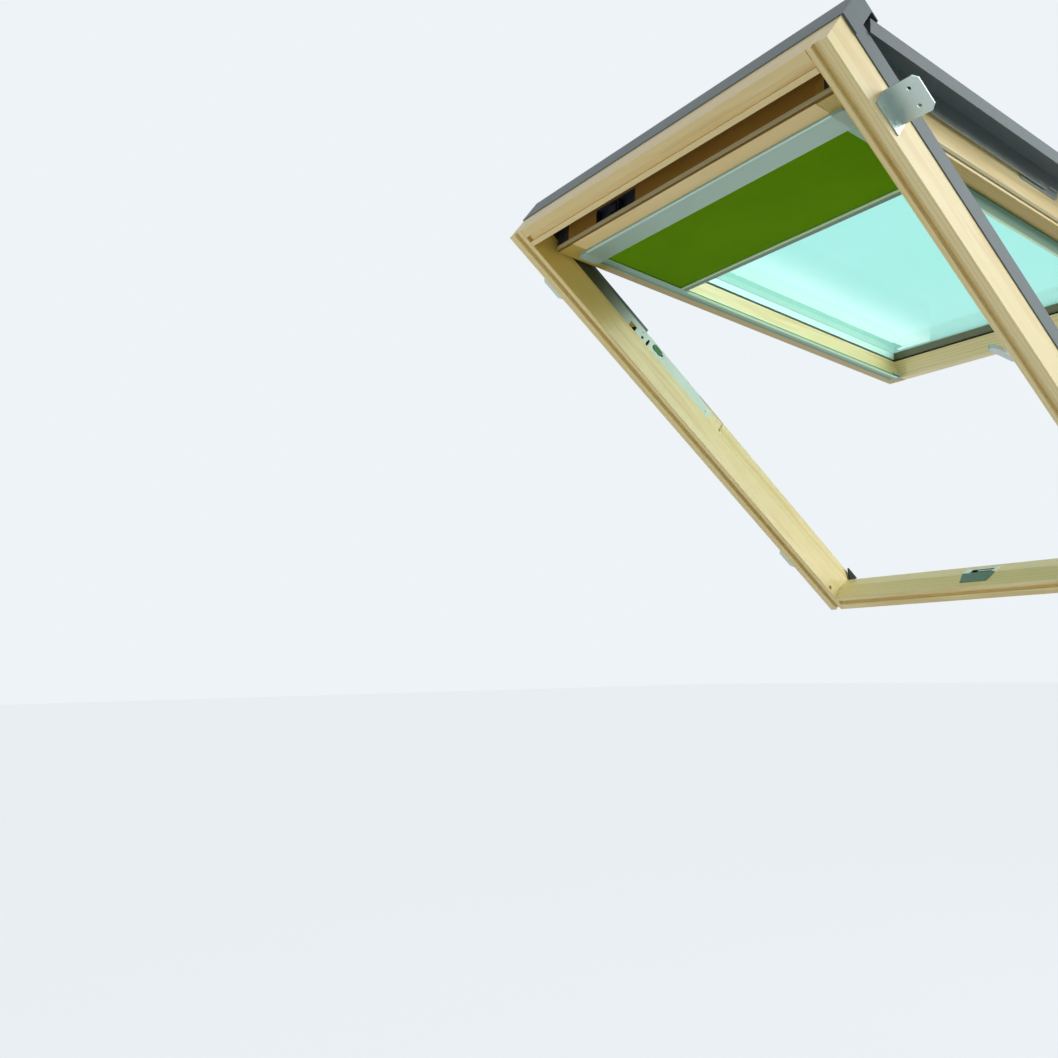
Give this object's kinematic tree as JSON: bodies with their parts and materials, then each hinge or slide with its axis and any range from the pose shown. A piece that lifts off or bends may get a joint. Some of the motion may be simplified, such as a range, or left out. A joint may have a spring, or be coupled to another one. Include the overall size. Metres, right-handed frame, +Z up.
{
  "type": "roof window",
  "caption": "Pine roof window with metal cladding and hood: a sash that opens on top-hung arms and turns on a middle pivot, with a green roller blind in side guides.",
  "frame": {"origin": "centre of the bottom rail's outer end face, at the level of the battens the brackets stand on", "axes": "+X across the window, seen from the room to the right; +Y level and out of the building, so the roof falls towards +Y at 38 degrees; +Z up"},
  "size_m": [0.89, 1.2313, 0.8229],
  "materials": {
    "pine": "clear satin lacquer",
    "cladding": "matt",
    "steel": "zinc plated",
    "green_plastic": "smooth",
    "seal": "matt",
    "sash_seal": "matt",
    "glazing_seal": "matt",
    "glass": "clear",
    "spacer": "satin",
    "corner_plastic": "matt",
    "lock_case": "dark plated",
    "blind_metal": "satin anodised",
    "blind_plastic": "matt",
    "blind_cloth": "woven, coated",
    "handle_metal": "satin"
  },
  "bodies": {
    "frame": {"frame_bottom_rail": "pine", "frame_cladding_bottom": "cladding", "frame_cladding_left": "cladding", "frame_cladding_right": "cladding", "frame_left_stile": "pine", "frame_right_stile": "pine", "frame_screws": "steel", "frame_top_rail": "pine", "hinge_pin_left": "steel", "hinge_pin_right": "steel", "hinge_plate_left": "steel", "hinge_plate_right": "steel", "mounting_bracket_lower_left": "steel", "mounting_bracket_lower_right": "steel", "mounting_bracket_upper_left": "steel", "mounting_bracket_upper_right": "steel", "top_hood": "cladding", "corner_seals": "seal", "strike_plate": "steel"},
    "selector_left": {"selector_slide_left": "green_plastic"},
    "selector_right": {"selector_slide_right": "green_plastic"},
    "arms": {"arm_cover_left": "cladding", "arm_cover_right": "cladding", "arm_left": "steel", "arm_right": "steel", "pivot_pin_left": "steel", "pivot_pin_right": "steel"},
    "sash": {"blind_guide_ends": "blind_plastic", "blind_guide_left": "blind_metal", "blind_guide_right": "blind_metal", "cover_corner_left": "corner_plastic", "cover_corner_right": "corner_plastic", "glass_inner_pane": "glass", "glass_outer_pane": "glass", "glass_spacer": "spacer", "pivot_plate_left": "steel", "pivot_plate_right": "steel", "sash_bead_left": "cladding", "sash_bead_right": "cladding", "sash_bead_top": "cladding", "sash_bottom_rail": "pine", "sash_cover_bottom": "cladding", "sash_cover_left": "cladding", "sash_cover_right": "cladding", "sash_gasket": "sash_seal", "sash_left_stile": "pine", "sash_right_stile": "pine", "sash_top_rail": "pine", "glazing_gasket": "glazing_seal", "top_lock_case": "lock_case", "corner_catches": "lock_case", "blind_cassette": "blind_metal", "blind_end_caps": "blind_plastic", "handle_rosette": "handle_metal"},
    "blind_roller": {"blind_roller": "steel", "blind_roll": "blind_cloth"},
    "blind_bar": {"blind_bottom_bar": "blind_metal", "blind_fabric": "blind_cloth"},
    "handle": {"handle_lever": "handle_metal", "latch_cam": "steel"}
  },
  "joints": [
    {"name": "top_hinge", "type": "hinge", "parent": "frame", "child": "arms", "pos_m": [0, -0.87407, 0.7485], "axis": [1, 0, 0], "range_deg": [-32.3, 2.7]},
    {"name": "sash_pivot", "type": "hinge", "parent": "arms", "child": "sash", "pos_m": [0, -0.3183, 0.67725], "axis": [1, 0, 0], "range_deg": [0, 155]},
    {"name": "blind_slide", "type": "slide", "parent": "sash", "child": "blind_bar", "axis": [0, 0.9951, -0.0993], "range_m": [-0.19, 0.71], "deforming": ["blind_fabric"]},
    {"name": "roller_spin", "type": "hinge", "parent": "sash", "child": "blind_roller", "pos_m": [0, -0.804, 0.67418], "axis": [1, 0, 0], "range_deg": [-681, 2543]},
    {"name": "handle_turn", "type": "hinge", "parent": "sash", "child": "handle", "pos_m": [0, 0.20353, 0.54879], "axis": [0, 0.0993, 0.9951], "range_deg": [0, 90]},
    {"name": "selector_slide_left", "type": "slide", "parent": "frame", "child": "selector_left", "axis": [0, 0.788, -0.6157], "range_m": [0, 0.012]},
    {"name": "selector_slide_right", "type": "slide", "parent": "frame", "child": "selector_right", "axis": [0, 0.788, -0.6157], "range_m": [0, 0.012]}
  ],
  "couplings": [
    {"joint": "roller_spin", "follows": "blind_slide", "rad_per_m": 62.5}
  ]
}
